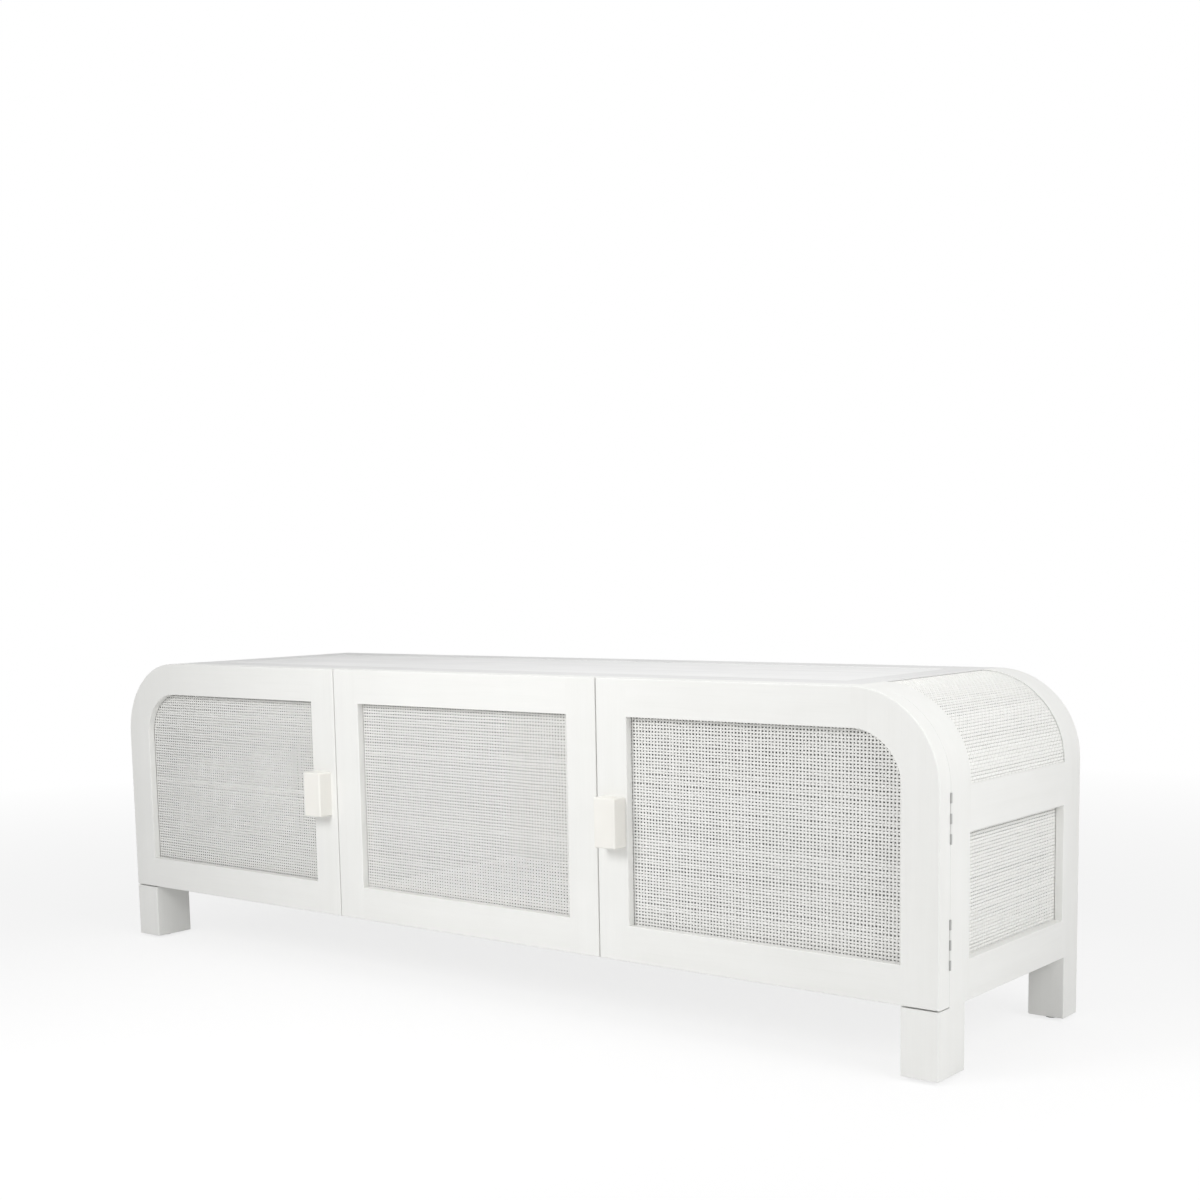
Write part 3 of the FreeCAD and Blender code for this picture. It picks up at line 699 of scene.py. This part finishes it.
class TVUNIT_OT_bend_shoulders(bpy.types.Operator):
    """Weave the cane that bends over the two shoulders"""

    bl_idname = "tvunit.bend_shoulders"
    bl_label = "Bend shoulder cane"

    def weave(self, cane, node, side, seed):
        """A panel bent over a shoulder.

        From below, it stands upright for the depth of a groove, turns through a quarter circle about
        the shoulder's centre, and lies level for the depth of a groove. Its four corners are cut out.
        """
        low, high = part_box(node)
        lap = cane.groove
        outer = high.x if side > 0 else -low.x
        radius = cane.shoulder_round - cane.strand_depth / 2 - cane.swing
        centre_x, centre_z = outer - cane.shoulder_round, high.z - cane.shoulder_round
        arc = radius * math.pi / 2
        size = (high.y - low.y, arc + 2 * lap)
        start = low.y if side > 0 else high.y

        def inside(a, b):
            bent = (b >= lap) & (b <= size[1] - lap)
            clear = (a >= lap) & (a <= size[0] - lap)
            return on_panel(size, a, b) & (bent | clear)

        def place(a, b, out):
            turn = np.clip(b - lap, 0, arc) / radius
            below, beyond = np.minimum(b - lap, 0), np.maximum(b - lap - arc, 0)
            x = centre_x + (radius + out) * np.cos(turn) - beyond
            z = centre_z + (radius + out) * np.sin(turn) + below
            return side * x, start + side * a, z

        mesh = woven_mesh("woven_" + node, size, inside, place, cane, seed, cane.closer_bend)
        add_cane(node, mesh, "carcass", cane_finish("End cane", cane, 1.0))

    def execute(self, context):
        cane = context.scene.tvunit_cane
        for number, (word, side) in enumerate(ENDS.items()):
            self.weave(cane, "curved_cane_" + word, side, cane.seed + BEND_SEED + number)
        return {"FINISHED"}


class TVUNIT_OT_paint_timber(bpy.types.Operator):
    """Paint the frame members white, with the grain along each one"""

    bl_idname = "tvunit.paint_timber"
    bl_label = "Paint timber"

    def execute(self, context):
        paint = context.scene.tvunit_paint
        members = {
            "along": named("door_top_rail", "door_bottom_rail", "flap_rails", "base_rails", "base_panel"),
            "across": named("bottom_rail_left", "bottom_rail_right", "mid_rail_left", "mid_rail_right"),
            "upright": named("stile", "stiles", "end_cane_beads") + [
                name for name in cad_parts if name.startswith(("upright_", "leg_"))
            ],
        }
        for direction, nodes in members.items():
            white = timber_paint(
                "White paint " + direction, paint.paint, paint.paint_shade, direction, grain=0.4, gloss=0.42
            )
            dress(nodes, white)
        return {"FINISHED"}


class TVUNIT_OT_finish_top(bpy.types.Operator):
    """Finish the top panel and its frame in paint that shows the grain, the frame darker than the panel"""

    bl_idname = "tvunit.finish_top"
    bl_label = "Finish top"

    def execute(self, context):
        paint = context.scene.tvunit_paint
        top = timber_paint("Grained top", paint.top, paint.top_shade, "along", grain=0.75, gloss=0.5)
        dress(["top_panel"], top)
        rails = {
            "along": named("front_rail", "rear_rail"),
            "across": named("cross_rail_left", "cross_rail_right"),
        }
        for direction, nodes in rails.items():
            thin = timber_paint(
                "Top rail " + direction, paint.top_rail, paint.top_rail_shade, direction, grain=0.5, gloss=0.5
            )
            dress(nodes, thin)
        return {"FINISHED"}


class TVUNIT_OT_finish_inside(bpy.types.Operator):
    """Paint the dividers, the beads of the doors and the inside of the back grey, as painted shade of the
    closed cabinet
    """

    bl_idname = "tvunit.finish_inside"
    bl_label = "Finish inside"

    def execute(self, context):
        paint = context.scene.tvunit_paint
        # The inside's grey is painted shade; the back panel's outer face stays white
        dull = shaded(paint.inner, 0.75)
        low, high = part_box("back_panel")
        behind = ((low.y + high.y) / 2, paint.paint, paint.paint_shade)
        back = timber_paint("Back panel", paint.inner, dull, "along", grain=0.3, gloss=0.6, behind=behind)
        dress(["back_panel"], back)
        shading = timber_paint("Inner panel upright", paint.inner, dull, "upright", grain=0.3, gloss=0.6)
        dress(["dividers", *named("door_cane_beads", "flap_cane_beads")], shading)
        return {"FINISHED"}


class TVUNIT_OT_finish_fittings(bpy.types.Operator):
    """Finish the handles, hinges, catches and foot glides"""

    bl_idname = "tvunit.finish_fittings"
    bl_label = "Finish fittings"

    def execute(self, context):
        paint = context.scene.tvunit_paint
        ivory = lacquer("Ivory lacquer", paint.handle, shaded(paint.handle, 0.95), gloss=0.38, peel=0.1)
        dress(named("_handle"), ivory)
        white = lacquer("White hinge paint", paint.hinge, shaded(paint.hinge, 0.92), gloss=0.4, peel=0.15)
        dress(named("door_hinge_leaves", "door_hinge_screws", "strike"), white)
        dress(named("flap_hinge_leaves", "flap_hinge_screws"), white)
        steel = rolled_steel("Grey hinge steel", paint.steel)
        dress(["frame_hinge_leaves", "frame_hinge_screws", "hinge_pins"], steel)
        plastic = lacquer("Catch plastic", paint.plastic, shaded(paint.plastic, 0.94), gloss=0.45, peel=0.12)
        dress(["magnet_catches", "push_latch_body", "latch_plunger"], plastic)
        black = lacquer("Glide plastic", paint.glide, shaded(paint.glide, 1.8), gloss=0.55, peel=0.3)
        dress(["foot_glides"], black)
        return {"FINISHED"}


# Stage
def seen(tree):
    """1 for rays from the camera and for rays that mirrors or glass send on, 0 for light."""
    path = put(tree, "ShaderNodeLightPath")
    first = put(tree, "ShaderNodeMath", operation="MAXIMUM")
    both = put(tree, "ShaderNodeMath", operation="MAXIMUM")
    tree.links.new(path.outputs["Is Camera Ray"], first.inputs[0])
    tree.links.new(path.outputs["Is Glossy Ray"], first.inputs[1])
    tree.links.new(first.outputs[0], both.inputs[0])
    tree.links.new(path.outputs["Is Transmission Ray"], both.inputs[1])
    return both.outputs[0]


class TVUNIT_OT_set_stage(bpy.types.Operator):
    """Set the camera, the light and the floor"""

    bl_idname = "tvunit.set_stage"
    bl_label = "Set stage"

    def add_camera(self, scene, stage):
        """Stand the camera where the photograph was taken from."""
        flat = math.cos(stage.pitch)
        ahead = Vector((-math.sin(stage.yaw) * flat, math.cos(stage.yaw) * flat, -math.sin(stage.pitch)))
        right = ahead.cross(Vector((0, 0, 1))).normalized()
        up = right.cross(ahead)
        turned_right = right * math.cos(stage.roll) - up * math.sin(stage.roll)
        turned_up = right * math.sin(stage.roll) + up * math.cos(stage.roll)
        camera = bpy.data.cameras.new("Photo camera")
        camera.lens, camera.sensor_width, camera.shift_y = stage.lens, SENSOR, stage.rise
        holder = bpy.data.objects.new("Photo camera", camera)
        turn = Matrix((turned_right, turned_up, -ahead)).transposed()
        holder.matrix_world = Matrix.Translation(stage.eye) @ turn.to_4x4()
        scene.collection.objects.link(holder)
        scene.camera = holder

    def add_soft_box(self, scene, name, power, side, place, target):
        """A square soft box that faces its target."""
        light = bpy.data.lights.new(name, "AREA")
        light.energy, light.size = power, side
        holder = bpy.data.objects.new(name, light)
        holder.location = place
        holder.rotation_euler = (Vector(place) - Vector(target)).to_track_quat("Z", "Y").to_euler()
        holder.visible_camera = False
        scene.collection.objects.link(holder)

    def add_sky(self, scene, stage):
        """Light from all round, which the camera sees as white."""
        world = bpy.data.worlds.new("White studio")
        scene.world = world
        world.use_nodes = True
        tree = world.node_tree
        light = tree.nodes["Background"]
        light.inputs["Color"].default_value = WHITE
        light.inputs["Strength"].default_value = stage.sky
        white = put(tree, "ShaderNodeBackground", {"Color": WHITE, "Strength": 1.0})
        mix = put(tree, "ShaderNodeMixShader")
        tree.links.new(seen(tree), mix.inputs[0])
        tree.links.new(light.outputs[0], mix.inputs[1])
        tree.links.new(white.outputs[0], mix.inputs[2])
        tree.links.new(mix.outputs[0], tree.nodes["World Output"].inputs["Surface"])

    def add_floor(self, scene, stage):
        """A wide pale floor that looks white, and keeps a light shadow near the unit."""
        material, tree, shader = new_material("Pale floor")
        shader.inputs["Base Color"].default_value = opaque(stage.floor)
        shader.inputs["Roughness"].default_value = 1.0
        shader.inputs["Specular IOR Level"].default_value = 0.0
        white = put(tree, "ShaderNodeEmission", {"Color": WHITE, "Strength": 1.0})
        distance = put(tree, "ShaderNodeVectorMath", operation="LENGTH")
        tree.links.new(object_vector(tree), distance.inputs[0])
        fade = spread(tree, distance.outputs["Value"], low=FADE_START, high=FADE_END, least=FADE_SHARE)
        share = put(tree, "ShaderNodeMath", operation="MULTIPLY")
        tree.links.new(seen(tree), share.inputs[0])
        tree.links.new(fade, share.inputs[1])
        mix = put(tree, "ShaderNodeMixShader")
        tree.links.new(share.outputs[0], mix.inputs[0])
        tree.links.new(shader.outputs[0], mix.inputs[1])
        tree.links.new(white.outputs[0], mix.inputs[2])
        tree.links.new(mix.outputs[0], tree.nodes["Material Output"].inputs["Surface"])
        reach = stage.floor_half
        corners = [(-reach, -reach, 0), (reach, -reach, 0), (reach, reach, 0), (-reach, reach, 0)]
        mesh = bpy.data.meshes.new("floor")
        mesh.from_pydata(corners, [], [(0, 1, 2, 3)])
        mesh.materials.append(material)
        floor = bpy.data.objects.new("floor", mesh)
        scene.collection.objects.link(floor)

    def execute(self, context):
        scene = context.scene
        stage = scene.tvunit_stage
        self.add_camera(scene, stage)
        for name, (power, side, place, target) in SOFT_BOXES.items():
            self.add_soft_box(scene, name, getattr(stage, power), side, place, target)
        self.add_sky(scene, stage)
        self.add_floor(scene, stage)
        scene.view_settings.view_transform = "Standard"
        return {"FINISHED"}


class TVUNIT_PT_tools(bpy.types.Panel):
    """The steps that dress the TV unit"""

    bl_idname = "TVUNIT_PT_tools"
    bl_label = "Cane TV unit"
    bl_space_type = "VIEW_3D"
    bl_region_type = "UI"
    bl_category = "TV unit"

    def draw(self, context):
        for step in STEPS:
            self.layout.operator(step.bl_idname)


SETTINGS = {"tvunit_cane": CaneSettings, "tvunit_paint": PaintSettings, "tvunit_stage": StageSettings}
STEPS = (
    TVUNIT_OT_weave_doors,
    TVUNIT_OT_weave_ends,
    TVUNIT_OT_bend_shoulders,
    TVUNIT_OT_paint_timber,
    TVUNIT_OT_finish_top,
    TVUNIT_OT_finish_inside,
    TVUNIT_OT_finish_fittings,
    TVUNIT_OT_set_stage,
)


def register():
    """Register the classes and hang the settings on the scene."""
    for one in (*SETTINGS.values(), *STEPS, TVUNIT_PT_tools):
        bpy.utils.register_class(one)
    for name, group in SETTINGS.items():
        setattr(bpy.types.Scene, name, PointerProperty(type=group))


def unregister():
    """Take the settings and the classes away again."""
    for name in SETTINGS:
        delattr(bpy.types.Scene, name)
    for one in (TVUNIT_PT_tools, *reversed(STEPS), *SETTINGS.values()):
        bpy.utils.unregister_class(one)


def main():
    """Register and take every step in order."""
    register()
    for step in STEPS:
        area, name = step.bl_idname.split(".")
        getattr(getattr(bpy.ops, area), name)()


if __name__ == "__main__":
    main()
